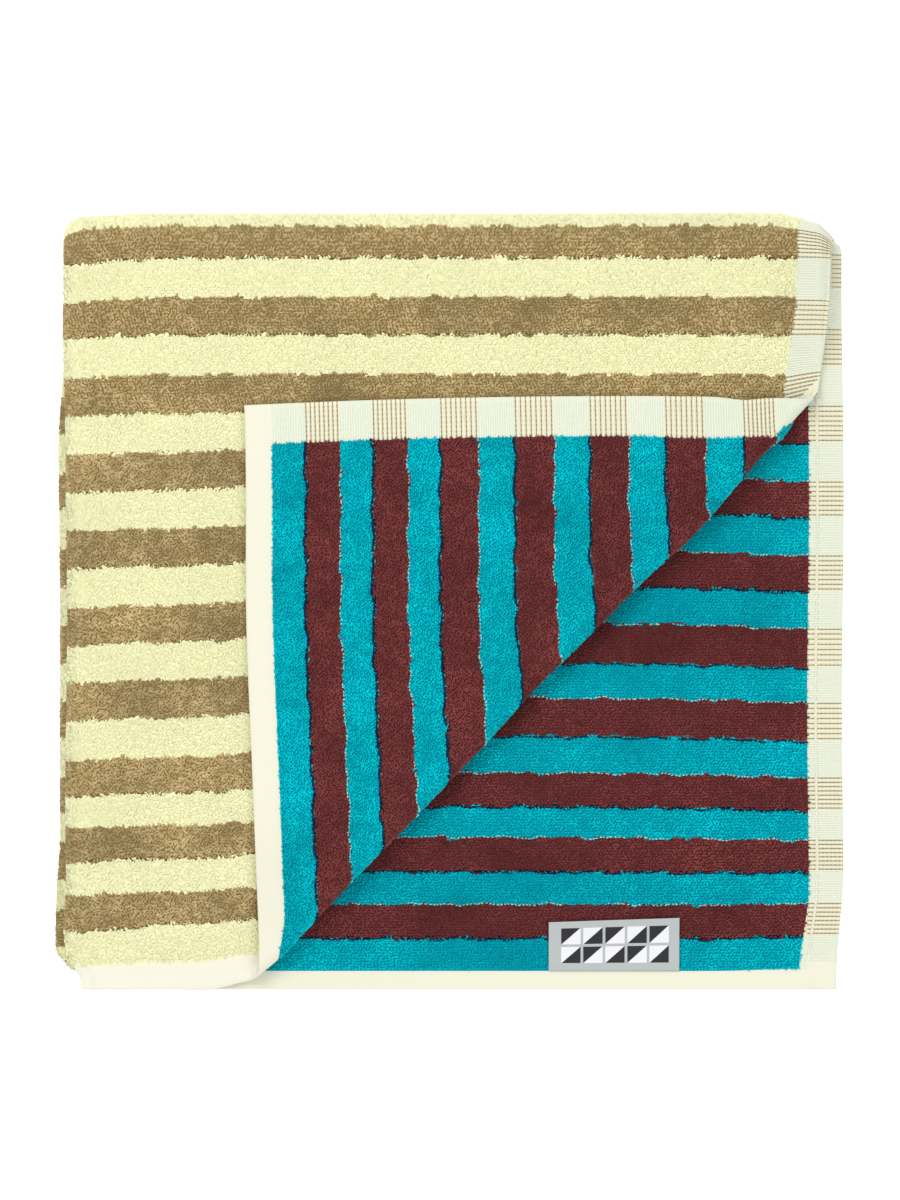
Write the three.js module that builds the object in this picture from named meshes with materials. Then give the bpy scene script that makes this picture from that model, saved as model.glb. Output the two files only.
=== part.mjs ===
import * as THREE from "three";

// Striped terry hand towel, folded to eight layers, with the near corner of the top layer turned back.
// Millimetres, Z up. X runs from the folds at the left to the end hems at the right.
const pitchMid = 3.4;
const pitchHem = 1.8;
const air = 0.4;

// outline of the folded towel
const foldAxisY = 110.4;
const nearY = -123.7;
const leftUpper = -123.9;
const leftLower = -125.7;
const leftHem = -118.2;
const innerFoldX = 119.6;
const topEndX = 123.4;
const secondEndX = 125.4;
const lowerEndX = [124.6, 124.0];
const endHem = 11.2;

// corner turned back over a soft diagonal fold
const foldPoint = [112.7, 65.9];
const foldAngle = 46.2 * Math.PI / 180;
const foldRadius = 2.8;
const foldLift = 2;
const flapAir = 0.8;
const liftFade = 12;
const away = [Math.sin(foldAngle), -Math.cos(foldAngle)];

// columns along the folded section and rows along the sweep
const restCols = [4, 5];
const rollCols = 7;
const flapCols = 8;
const hemCols = 2;
const wrapCols = [7, 4, 4];
const innerCols = [-40, 40, 72, 88, 104];
const secondCols = [-30, 40, 72, 88, 101, 112];
const lowerRows = [nearY, -117, -110, -102, -92, -80, -64, 60];
const turnRows = 10;
const upperRows = [110.4, 99, 89, 80, 74, 69.5, 67, 64.5, 62, 59.5, 57, 54.5, 52, 48, 42, 34, 23, 10, -4, -19, -34, -48,
  -64, -80, -92, -102, -110, -117, nearY];

// woven label sewn at the side hem of the second layer
const labelX = [31.7, 73.6];
const labelY = [-118.4, -102];
const labelSkew = 1.4;
const labelThick = 0.6;
const labelClear = 0.5;

function smooth(t) {
  const c = Math.min(1, Math.max(0, t));
  return c * c * (3 - 2 * c);
}

function mix(a, b, t) {
  return a + (b - a) * t;
}

// distance between neighbouring layers: full in the middle, pressed flat towards the hems
function pitchAt(x, y) {
  const toEnd = smooth((x - 62) / 60);
  const toSide = smooth((-66 - y) / 56);
  return mix(pitchMid, pitchHem, 1 - (1 - toEnd) * (1 - toSide));
}

// the upper layers lie a little unevenly
function swell(x, y) {
  return 1 + 0.02 * Math.sin(x / 31 + 1.1) * Math.cos(y / 27 - 0.6) + 0.014 * Math.sin(y / 17 + x / 45);
}

// height of a plane between layers of the upper half, r pitches above the far fold's axis
function heightAt(x, y, r) {
  return pitchAt(x, y) * (4 + r * swell(x, y)) - air / 2;
}

function halfThick(x, y) {
  return (pitchAt(x, y) * swell(x, y) - air) / 2;
}

function leftEdge(y, upper) {
  const slip = smooth((100 - y) / 40);
  const out = mix(leftUpper, mix(leftUpper, leftLower, slip), 1 - upper) + 0.5 * Math.sin(y / 19 + 2 * upper);
  return mix(out, leftHem, smooth((-105 - y) / 14));
}

// right-hand edge of the top layer, drawn in where the corner is folded
function topEdge(y) {
  const pull = y > 60 ? 5.6 * Math.exp(-(((y - 60) / 26) ** 2)) : 6.6 * Math.exp(-(((y - 60) / 22) ** 2));
  return topEndX - smooth((y + 20) / 80) - pull;
}

// near edge of the top layer, lifted a little past the fold
function nearShift(x, y) {
  const lift = 2.5 * smooth((x + 85) / 40) + 2.7 * smooth((x + 45) / 170);
  return lift * smooth((-60 - y) / 64);
}

function pastFold(x, y) {
  return (x - foldPoint[0]) * away[0] + (y - foldPoint[1]) * away[1];
}

// column on the top layer that lies a set distance past the fold line
function columnAt(y, past) {
  let x = 0;
  for (let i = 0; i < 6; i += 1) {
    x -= (pastFold(x, y + nearShift(x, y)) - past) / away[0];
  }
  return x;
}

function spread(from, to, count) {
  return Array.from({ length: count }, (_, i) => mix(from, to, i / count));
}

function topColumns(y, left, end) {
  const start = Math.min(columnAt(y, 0), end - 5.5);
  const split = mix(left, start, mix(0.56, 0.755, smooth((start - 50) / 50)));
  const rolled = Math.min(columnAt(y, Math.PI * foldRadius), end - 3);
  const hem = Math.max(end - endHem, rolled + 1.5);
  return [...spread(left, split, restCols[0]), ...spread(split, start, restCols[1]),
    ...spread(start, rolled, rollCols), ...spread(rolled, hem, flapCols), ...spread(hem, end, hemCols), end];
}

// position and face direction on the top layer, rolled over the fold and laid back
function turnedBack(x, y) {
  const past = pastFold(x, y);
  const own = halfThick(x, y);
  if (past <= 0) {
    return { at: [x, y, heightAt(x, y, 3.5)], face: [0, 0, 1], half: own };
  }
  const root = [x - away[0] * past, y - away[1] * past];
  const low = heightAt(root[0], root[1], 3.5);
  const roll = Math.min(past / foldRadius, Math.PI);
  const back = Math.max(0, past - Math.PI * foldRadius);
  const reach = foldRadius * Math.sin(roll) - back;
  const at = [root[0] + away[0] * reach, root[1] + away[1] * reach];
  const under = back > 0 ? at : root;
  const high = heightAt(under[0], under[1], 4) + flapAir + own + foldLift * Math.exp(-back / liftFade);
  at.push(mix(low, high, (1 - Math.cos(roll)) / 2));
  const face = [-away[0] * Math.sin(roll), -away[1] * Math.sin(roll), Math.cos(roll)];
  return { at, face, half: own };
}

// one section: points in the x and r plane, r measured from the axis of the far fold
function section(y, upper, steps) {
  const left = leftEdge(y, upper);
  const atLeft = pitchAt(left, y);
  const leftAxis = left + 2 * atLeft - air / 2;
  const atRight = pitchAt(innerFoldX, y);
  const rightAxis = innerFoldX - atRight + 0.8 * upper;
  const points = [];
  const add = (x, r, dx, dr, pitch, layer) => points.push({ x, r, dx, dr, pitch, layer });
  for (const x of steps.top) {
    add(x, 3.5, 0, 1, null, 0);
  }
  for (let i = 0; i <= wrapCols[0]; i += 1) {
    const t = i / wrapCols[0];
    const a = Math.PI * t;
    add(leftAxis - 1.5 * atLeft * Math.sin(a), 2 + 1.5 * Math.cos(a), -Math.sin(a), Math.cos(a), atLeft, t);
  }
  for (const x of innerCols) {
    add(x, 0.5, 0, -1, null, 1);
  }
  for (let i = 0; i <= wrapCols[1]; i += 1) {
    const t = i / wrapCols[1];
    const a = Math.PI * t;
    add(rightAxis + 0.5 * atRight * Math.sin(a), 1 - 0.5 * Math.cos(a), Math.sin(a), -Math.cos(a), atRight, 1 + t);
  }
  for (const x of [...innerCols].reverse()) {
    add(x, 1.5, 0, 1, null, 2);
  }
  for (let i = 0; i <= wrapCols[2]; i += 1) {
    const t = i / wrapCols[2];
    const a = Math.PI * t;
    add(leftAxis + 1.5 - 0.5 * atLeft * Math.sin(a), 2 - 0.5 * Math.cos(a), Math.sin(a), Math.cos(a), atLeft, 2 + t);
  }
  for (const x of [...secondCols, steps.second]) {
    add(x, 2.5, 0, -1, null, 3);
  }
  return points;
}

// how far each layer stops short of the near edge
function shortOf(layer, upper, y) {
  const table = upper > 0.5 ? [0, 0.8, 1.2, 0] : [0.9, 0.5, 1.5, 0.3];
  const i = Math.min(2, Math.floor(layer));
  return mix(table[i], table[i + 1], layer - i) * smooth((-60 - y) / 64);
}

function ring(row) {
  const upper = row.turn / Math.PI;
  const end = mix(lowerEndX[0], topEdge(row.y), smooth(upper));
  const second = mix(lowerEndX[1], secondEndX, smooth(upper)) + 0.3 * Math.sin(row.y / 21);
  const left = leftEdge(row.y, upper);
  const leftAxis = left + 2 * pitchAt(left, row.y) - air / 2;
  const top = topColumns(row.y, leftAxis, end).reverse().slice(0, -1);
  const points = section(row.y, upper, { top, second });
  const cos = Math.cos(row.turn);
  const sin = Math.sin(row.turn);
  const sides = [[], []];
  points.forEach((p, i) => {
    const onTop = i < top.length;
    const y = row.y + (onTop && upper === 1 ? nearShift(p.x, row.y) : shortOf(p.layer, upper, row.y));
    const base = p.pitch ?? pitchAt(p.x, y);
    const pitch = base * mix(1, swell(p.x, y), smooth(upper));
    const placed = onTop && upper === 1 ? turnedBack(p.x, y) : {
      at: [p.x, y + p.r * pitch * sin, 4 * base - air / 2 - p.r * pitch * cos],
      face: [p.dx, p.dr * sin, -p.dr * cos],
      half: (pitch - air) / 2,
    };
    sides[0].push(placed.at.map((v, k) => v + placed.face[k] * placed.half));
    sides[1].push(placed.at.map((v, k) => v - placed.face[k] * placed.half));
  });
  return [...sides[0], ...sides[1].reverse()];
}

function towelGeometry() {
  const rows = lowerRows.map((y) => ({ y, turn: 0 }));
  for (let i = 0; i < turnRows; i += 1) {
    rows.push({ y: foldAxisY, turn: Math.PI * i / turnRows });
  }
  upperRows.forEach((y) => rows.push({ y, turn: Math.PI }));
  const rings = rows.map(ring);
  const count = rings[0].length;
  const index = [];
  for (let j = 0; j + 1 < rings.length; j += 1) {
    for (let i = 0; i < count; i += 1) {
      const a = j * count + i;
      const b = j * count + (i + 1) % count;
      index.push(a, b, b + count, a, b + count, a + count);
    }
  }
  const last = (rings.length - 1) * count;
  for (let i = 0; i + 1 < count / 2; i += 1) {
    const far = count - 1 - i;
    index.push(i, far, far - 1, i, far - 1, i + 1);
    index.push(last + i, last + far - 1, last + far, last + i, last + i + 1, last + far - 1);
  }
  const geometry = new THREE.BufferGeometry();
  geometry.setAttribute("position", new THREE.Float32BufferAttribute(rings.flat(2), 3));
  geometry.setIndex(index);
  return geometry;
}

function labelGeometry() {
  const cols = 8;
  const rows = 4;
  const under = [];
  const over = [];
  for (let j = 0; j <= rows; j += 1) {
    for (let i = 0; i <= cols; i += 1) {
      const x = mix(labelX[0], labelX[1], i / cols);
      const y = mix(labelY[0], labelY[1] + labelSkew * i / cols, j / rows);
      const z = heightAt(x, y, 3) - air / 2 + labelClear + 0.7 * smooth((j - 1) / 3);
      under.push([x, y, z]);
      over.push([x, y, z + labelThick]);
    }
  }
  const wide = cols + 1;
  const layer = under.length;
  const index = [];
  for (let j = 0; j < rows; j += 1) {
    for (let i = 0; i < cols; i += 1) {
      const a = j * wide + i;
      index.push(a, a + wide, a + wide + 1, a, a + wide + 1, a + 1);
      index.push(layer + a, layer + a + wide + 1, layer + a + wide, layer + a, layer + a + 1, layer + a + wide + 1);
    }
  }
  const border = [];
  for (let i = 0; i < cols; i += 1) {
    border.push(i);
  }
  for (let j = 0; j < rows; j += 1) {
    border.push(j * wide + cols);
  }
  for (let i = cols; i > 0; i -= 1) {
    border.push(rows * wide + i);
  }
  for (let j = rows; j > 0; j -= 1) {
    border.push(j * wide);
  }
  border.forEach((a, k) => {
    const b = border[(k + 1) % border.length];
    index.push(a, b, b + layer, a, b + layer, a + layer);
  });
  const geometry = new THREE.BufferGeometry();
  geometry.setAttribute("position", new THREE.Float32BufferAttribute([...under, ...over].flat(), 3));
  geometry.setIndex(index);
  return geometry;
}

function piece(name, geometry, color) {
  const mesh = new THREE.Mesh(geometry, new THREE.MeshStandardMaterial({ color, roughness: 0.95, metalness: 0 }));
  mesh.name = name;
  return mesh;
}

const folded = new THREE.Group();
folded.name = "folded_hand_towel";
folded.add(piece("towel", towelGeometry(), 0xe8e6b8));
folded.add(piece("label", labelGeometry(), 0xc5c9c9));

export default folded;
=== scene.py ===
import math

import bpy
import numpy as np
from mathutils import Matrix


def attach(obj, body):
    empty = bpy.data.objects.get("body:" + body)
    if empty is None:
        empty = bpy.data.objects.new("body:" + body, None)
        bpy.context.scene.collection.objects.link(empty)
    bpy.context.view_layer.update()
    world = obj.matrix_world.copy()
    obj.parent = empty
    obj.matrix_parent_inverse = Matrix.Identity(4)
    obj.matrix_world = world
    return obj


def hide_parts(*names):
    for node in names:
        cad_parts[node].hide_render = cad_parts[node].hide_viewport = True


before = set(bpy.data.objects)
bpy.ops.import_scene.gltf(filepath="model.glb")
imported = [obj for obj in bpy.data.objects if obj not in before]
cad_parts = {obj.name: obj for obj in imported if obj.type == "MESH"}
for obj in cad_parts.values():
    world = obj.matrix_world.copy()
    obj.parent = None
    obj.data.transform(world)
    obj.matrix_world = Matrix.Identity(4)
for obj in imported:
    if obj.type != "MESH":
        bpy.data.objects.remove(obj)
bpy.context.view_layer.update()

mm = 0.001

# camera, floor and light
studio = {
    "photoWidth": 288.0,      # what the frame's width covers at the towel, mm
    "photoCentreY": 0.48,
    "cameraHeight": 3000.0,
    "planeHeight": 24.0,
    "floorSize": 6000.0,
    "floorTone": (0.93, 0.93, 0.92),
    "floorGlow": 0.4,
    "airStrength": 0.8,
    "lamps": [                # name, place and size in metres, power
        ("keyLamp", (-0.75, 0.85, 1.5), 1.1, 15),
        ("fillLamp", (1.1, -0.9, 1.6), 1.6, 10),
    ],
}


def makeStudio():
    scene = bpy.context.scene
    scene.view_settings.view_transform = "Standard"
    camera = bpy.data.objects.new("photoCamera", bpy.data.cameras.new("photoCamera"))
    scene.collection.objects.link(camera)
    camera.location = (0, studio["photoCentreY"] * mm, studio["cameraHeight"] * mm)
    camera.data.sensor_fit = "HORIZONTAL"
    camera.data.sensor_width = 36
    distance = studio["cameraHeight"] - studio["planeHeight"]
    camera.data.lens = camera.data.sensor_width * distance / studio["photoWidth"]
    camera.data.clip_start = 0.01
    camera.data.clip_end = 100
    scene.camera = camera

    bpy.ops.object.select_all(action="DESELECT")
    bpy.ops.mesh.primitive_plane_add(size=studio["floorSize"] * mm, location=(0, 0, 0))
    floor = bpy.context.object
    floor.name = "floor"
    paper = bpy.data.materials.new("floorPaper")
    paper.use_nodes = True
    shader = paper.node_tree.nodes["Principled BSDF"]
    shader.inputs["Base Color"].default_value = (*studio["floorTone"], 1)
    shader.inputs["Roughness"].default_value = 0.9
    shader.inputs["Emission Color"].default_value = (1, 1, 1, 1)
    shader.inputs["Emission Strength"].default_value = studio["floorGlow"]
    floor.data.materials.append(paper)

    world = bpy.data.worlds.new("studioAir")
    scene.world = world
    world.use_nodes = True
    world.node_tree.nodes["Background"].inputs["Color"].default_value = (1, 1, 1, 1)
    world.node_tree.nodes["Background"].inputs["Strength"].default_value = studio["airStrength"]
    for name, place, size, power in studio["lamps"]:
        light = bpy.data.lights.new(name, "AREA")
        light.shape = "DISK"
        light.size = size
        light.energy = power
        lamp = bpy.data.objects.new(name, light)
        scene.collection.objects.link(lamp)
        lamp.location = place
        toward = -np.array(place)
        lamp.rotation_euler = (
            math.atan2(math.hypot(toward[0], toward[1]), -toward[2]), 0,
            math.atan2(toward[1], toward[0]) - math.pi / 2)


makeStudio()
print("studio set")

# how the towel is folded, mm
stack = {
    "pitchMid": 3.4,          # from layer to layer in the middle
    "pitchHem": 1.8,          # and at the hems
    "air": 0.4,
    "foldAxisY": 110.4,
    "nearY": -123.7,
    "leftUpper": -124.4,
    "leftLower": -125.8,
    "leftHem": -118.8,
    "innerFoldX": 119.6,
    "topEndX": 123.4,
    "secondEndX": 126.2,
    "lowerTopEndX": 124.6,
    "lowerSecondEndX": 124.0,
    "endHem": 11.2,
    "turnedHem": 12.6,        # the same hem seen on the laid-back side
    "sideHem": 8.6,
    "noFold": -99.0,          # reading where the diagonal fold doesn't come
    "noEnd": 300.0,           # and where no end of the cloth is near
}
turned = {                    # the corner rolled over and laid back
    "point": (112.7, 65.9),
    "angle": math.radians(46.2),
    "radius": 2.8,
    "lift": 2.0,
    "air": 0.8,
    "fade": 12.0,
    "hides": (-62, 60, 8),    # right of, nearer than and above this it covers the top layer
}
away = (math.sin(turned["angle"]), -math.cos(turned["angle"]))
nearY = stack["nearY"]


def smooth(t):
    c = np.clip(t, 0, 1)
    return c * c * (3 - 2 * c)


def ramp(t, start, end):
    # eases from 0 at the start to 1 at the end
    return smooth((t - start) / (end - start))


def hump(t, middle, reach):
    return np.exp(-(((t - middle) / reach) ** 2))


def mix(a, b, t):
    return a + (b - a) * t


def unit(way):
    return way / np.maximum(np.linalg.norm(way, axis=-1, keepdims=True), 1e-9)


def runLength(line):
    # how far along a line each of its points lies
    return np.concatenate([[0], np.cumsum(np.linalg.norm(np.diff(line, axis=0), axis=1))])


def squareTo(up, ahead):
    # the way ahead made square to the outward way, and the way to its side
    ahead = unit(ahead - up * np.sum(ahead * up, 1)[:, None])
    return ahead, np.cross(up, ahead)


def pitchAt(x, y):
    # layers lie closer at the end hems, the near hem and the far right corner
    toHem = 1 - (1 - ramp(x, 62, 122)) * (1 - ramp(y, -66, -122))
    near = mix(stack["pitchMid"], stack["pitchHem"], toHem)
    far = stack["pitchMid"] - 0.85 * ramp(x, 103, 121) - 1.25 * ramp(x, 117.5, 125.5)
    return mix(near, far, ramp(y, 66, 96))


def swell(x, y):
    return 1 + 0.02 * np.sin(x / 31 + 1.1) * np.cos(y / 27 - 0.6) + 0.014 * np.sin(y / 17 + x / 45)


def heightAt(x, y, r):
    return pitchAt(x, y) * (4 + r * swell(x, y)) - stack["air"] / 2


def halfThick(x, y):
    return (pitchAt(x, y) * swell(x, y) - stack["air"]) / 2


def leftEdge(y, upper):
    # the upper fold draws in a little and lets the lower one show
    high = stack["leftUpper"] + 1.2 * ramp(y, 90, 54) + 0.3 * math.sin(y / 19 + 2) - hump(y, -104, 9)
    low = stack["leftLower"] - 0.7 * hump(y, 45, 16) - 1.2 * ramp(y, -76, -96)
    out = mix(mix(stack["leftUpper"], low, ramp(y, 72, 54)), high, upper)
    return mix(out, stack["leftHem"], ramp(y, -112.6, -121.6))


def topEdge(y):
    # the top layer's end draws in towards the fold point
    if y > 60:
        return stack["topEndX"] - 1 - 4.4 * hump(y, 60, 26)
    t = np.clip((y + 90) / 150, 0, 1)
    return stack["topEndX"] - 0.2 - 0.9 * t - 4.3 * t * t


def nearLift(x):
    return 2.5 * ramp(x, -85, -45) + 2.7 * ramp(x, -45, 125)


def nearShift(x, y):
    # the top layer's near edge lies further in towards the right
    return nearLift(x) * ramp(y, -60, -124)


def pastFold(x, y):
    return (x - turned["point"][0]) * away[0] + (y - turned["point"][1]) * away[1]


def columnAt(y, past):
    x = 0.0
    for _ in range(6):
        x -= (pastFold(x, y + nearShift(x, y)) - past) / away[0]
    return x


def turnedBack(x, y):
    past = pastFold(x, y)
    own = halfThick(x, y)
    radius = turned["radius"]
    over = past > 0
    gone = np.where(over, past, 0)
    rootX = x - away[0] * gone
    rootY = y - away[1] * gone
    low = heightAt(rootX, rootY, 3.5)
    roll = np.minimum(gone / radius, math.pi)
    back = np.maximum(0, gone - math.pi * radius)
    reach = radius * np.sin(roll) - back
    atX = rootX + away[0] * reach
    atY = rootY + away[1] * reach
    underX = np.where(back > 0, atX, rootX)
    underY = np.where(back > 0, atY, rootY)
    high = heightAt(underX, underY, 4) + turned["air"] + own + turned["lift"] * np.exp(-back / turned["fade"])
    z = np.where(over, mix(low, high, (1 - np.cos(roll)) / 2), low)
    at = np.stack([atX, atY, z], -1)
    face = np.stack([-away[0] * np.sin(roll), -away[1] * np.sin(roll), np.cos(roll)], -1)
    return at, face, own, past


# stripes across the cloth, from the side hem's edge to the middle of the width
stripes = {
    "start": [19.3, 41.3, 62.4, 86.5, 110.6, 135.0, 159.4, 183.7, 208.0, 232.4],
    "end": [30.6, 52.0, 73.8, 98.6, 122.4, 147.0, 171.2, 195.7, 219.9, 243.8],
    "middle": 254.8,
    "rib": 1.52,
}
uvSpan = (512.0, 256.0)       # millimetres that the cloth's UV square stands for
slips = {                     # where across the cloth, and by how much
    "flap": ([14, 30.6, 41.3, 52, 62.4, 73.8, 86.5, 98.6, 110.6, 122.4, 135, 150],
             [0, 0.4, 0.6, 0.1, 0.1, -0.7, 0.4, 0, 0.6, 0, 0.9, 0]),
    "second": ([10, 19.3, 30.6, 41.3, 52, 62.4, 73.8, 86.5, 98.6, 110.6, 122.4, 135, 150],
               [0, -0.6, -0.6, -0.3, -0.4, 0.3, 0.4, 0.9, 0, 0.5, -0.9, -0.4, -0.3]),
}
wanders = [(0.22, 1.7, 0.8), (0.13, 1.0, -1.3), (0.26, 3.3, 2.1)]   # height mm, length, drift


def wander(u, v):
    # stripe edges waver along their length
    return sum(high * np.sin(u / length + drift * v) for high, length, drift in wanders)


def inStripe(v):
    inside = np.zeros(np.shape(v), bool)
    for a, b in zip(stripes["start"], stripes["end"]):
        inside |= (v >= a) & (v < b)
    return inside


# the cloth as rows and stations
grid = {
    "rest": (16, 26),
    "roll": 16,
    "flap": 36,
    "hem": 8,
    "wraps": (14, 7, 7),
    "inner": 8,
    "second": 38,
    "turnRows": 20,
}


def lowerRows():
    return np.concatenate([[nearY, nearY + 0.5], np.linspace(nearY + 3, -60, 16), np.linspace(-40, 100, 7)])


def upperRows():
    far = np.linspace(stack["foldAxisY"], 76, 15)[:-1]
    corner = np.linspace(76, 48, 22)[:-1]
    middle = np.linspace(48, -60, 36)[:-1]
    near = np.linspace(-60, nearY + 2, 34)
    return np.concatenate([far, corner, middle, near, [nearY + 0.5, nearY]])


def spread(a, b, count):
    return a + (b - a) * np.arange(count) / count


def topColumns(y, left, end):
    start = min(columnAt(y, 0), end - 5.5)
    split = mix(left, start, mix(0.56, 0.755, ramp(start, 50, 100)))
    rolled = min(columnAt(y, math.pi * turned["radius"]), end - 3)
    hem = max(end - stack["endHem"], rolled + 1.5)
    return np.concatenate([
        spread(left, split, grid["rest"][0]), spread(split, start, grid["rest"][1]),
        spread(start, rolled, grid["roll"]), spread(rolled, hem, grid["flap"]),
        spread(hem, end - 0.5, grid["hem"]), [end - 0.5, end]])


def makeRow(y, turn):
    upper = turn / math.pi
    ease = float(smooth(upper))
    end = mix(stack["lowerTopEndX"], topEdge(y), ease)
    second = mix(stack["lowerSecondEndX"], stack["secondEndX"], ease) + 0.3 * math.sin(y / 21)
    left = leftEdge(y, upper)
    atLeft = float(pitchAt(left, y))
    leftAxis = left + 2 * atLeft - stack["air"] / 2
    atRight = float(pitchAt(stack["innerFoldX"], y))
    rightAxis = stack["innerFoldX"] - atRight + 0.8 * upper
    top = topColumns(y, leftAxis, end)[::-1][:-1]
    parts = []

    def add(x, r, dx, dr, pitch, layer, zone):
        x = np.atleast_1d(np.asarray(x, float))
        wide = np.ones_like(x)
        parts.append([x, r * wide, dx * wide, dr * wide, pitch * wide, layer * wide, zone * wide])

    def wrap(x, r, pitch, reach, ways, zone):
        # half a turn of cloth round a fold
        t = np.linspace(0, 1, grid["wraps"][zone // 2] + 1)
        sin, cos = np.sin(math.pi * t), np.cos(math.pi * t)
        add(x + reach[0] * pitch * sin, r + reach[1] * cos, ways[0] * sin, ways[1] * cos, pitch,
            zone // 2 + t, zone)

    add(top, 3.5, 0, 1, -1, 0, 0)
    wrap(leftAxis, 2, atLeft, (-1.5, 1.5), (-1, 1), 1)
    inner = np.linspace(leftAxis, rightAxis, grid["inner"] + 2)[1:-1]
    inner = np.concatenate([inner[inner < 55], np.linspace(62, rightAxis - 3, 6)])
    add(inner, 0.5, 0, -1, -1, 1, 2)
    wrap(rightAxis, 1, atRight, (0.5, -0.5), (1, -1), 3)
    add(inner[::-1], 1.5, 0, 1, -1, 2, 4)
    wrap(leftAxis + 1.5, 2, atLeft, (-0.5, -0.5), (1, 1), 5)
    hem = second - stack["endHem"]
    outer = np.concatenate([
        spread(leftAxis + 1.5, hem, grid["second"])[1:], spread(hem, second - 0.5, grid["hem"]),
        [second - 0.5, second]])
    add(outer, 2.5, 0, -1, -1, 3, 6)
    x, r, dx, dr, pitch, layer, zone = (np.concatenate(p) for p in zip(*parts))

    onTop = zone == 0
    short = [0, 0.8, 1.2, 0] if upper > 0.5 else [0.9, 0.5, 1.5, 0.3]
    shift = np.interp(layer, [0, 1, 2, 3], short) * ramp(y, -60, -124)
    rowY = y + (np.where(onTop, nearShift(x, y), shift) if upper == 1 else shift)
    base = np.where(pitch > 0, pitch, pitchAt(x, rowY))
    own = base * mix(1, swell(x, rowY), ease)
    cos, sin = math.cos(turn), math.sin(turn)
    mid = np.stack([x, rowY + r * own * sin, 4 * base - stack["air"] / 2 - r * own * cos], -1)
    face = np.stack([dx, dr * sin, -dr * cos], -1)
    half = (own - stack["air"]) / 2
    past = np.full(x.shape, stack["noFold"])
    if upper == 1:
        at, way, thick, gone = turnedBack(x[onTop], rowY[onTop])
        mid[onTop], face[onTop], half[onTop], past[onTop] = at, way, thick, gone
        under = zone == 6
        past[under] = pastFold(x[under], rowY[under])

    fromEnd = np.full(x.shape, stack["noEnd"])
    fromEnd[onTop] = end - x[onTop]
    fromEnd[zone == 6] = second - x[zone == 6]
    across = patternAcross(x, y, rowY, turn, zone)
    return {"mid": mid, "face": face, "half": half, "past": past, "fromEnd": fromEnd, "across": across,
            "zone": zone, "flatY": rowY}


def patternAcross(x, y, rowY, turn, zone):
    # how far across the cloth each station lies, from the near side hem
    depth = y - nearY
    straight = stack["foldAxisY"] - nearY
    sag = 2.2 * (1 - np.exp(-np.maximum(112 - x, 0) / 35))
    if turn == math.pi:
        dip = 1.3 * np.exp(-np.maximum(x + 118.5, 0) / 14)
        top = (rowY if depth < 70 else y) - nearY - nearLift(x) * ramp(depth, 200, 160) + dip
        lag = 1.9 * ramp(depth, 62, 22) * mix(0.55, 1, ramp(x, 114, 84))
        second = depth + 10.6 * (1 - math.exp(-depth / 70)) - sag * ramp(depth, 0, 70) + lag
        return np.where(zone == 6, second, np.where(zone <= 1, top, depth))
    if turn == 0:
        return np.full(x.shape, depth + 6.5 * ramp(depth, 0, 12))
    t = turn / math.pi
    if t < 0.5:
        return np.full(x.shape, mix(straight + 6.5, stripes["middle"], t * 2))
    return mix(stripes["middle"], straight + np.where(zone == 6, 10.2 - sag, 0), (t - 0.5) * 2)


def makeRows():
    rows = [(y, 0.0) for y in lowerRows()]
    rows += [(stack["foldAxisY"], math.pi * i / grid["turnRows"]) for i in range(grid["turnRows"])]
    rows += [(y, math.pi) for y in upperRows()]
    made = [makeRow(float(y), turn) for y, turn in rows]
    cloth = {key: np.stack([m[key] for m in made]) for key in made[0]}
    cloth["upper"] = np.array([turn == math.pi for _, turn in rows])
    cloth["turning"] = np.array([0 < turn < math.pi for _, turn in rows])
    cloth["rowY"] = np.array([y for y, _ in rows])
    settle(cloth)
    return cloth


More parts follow.
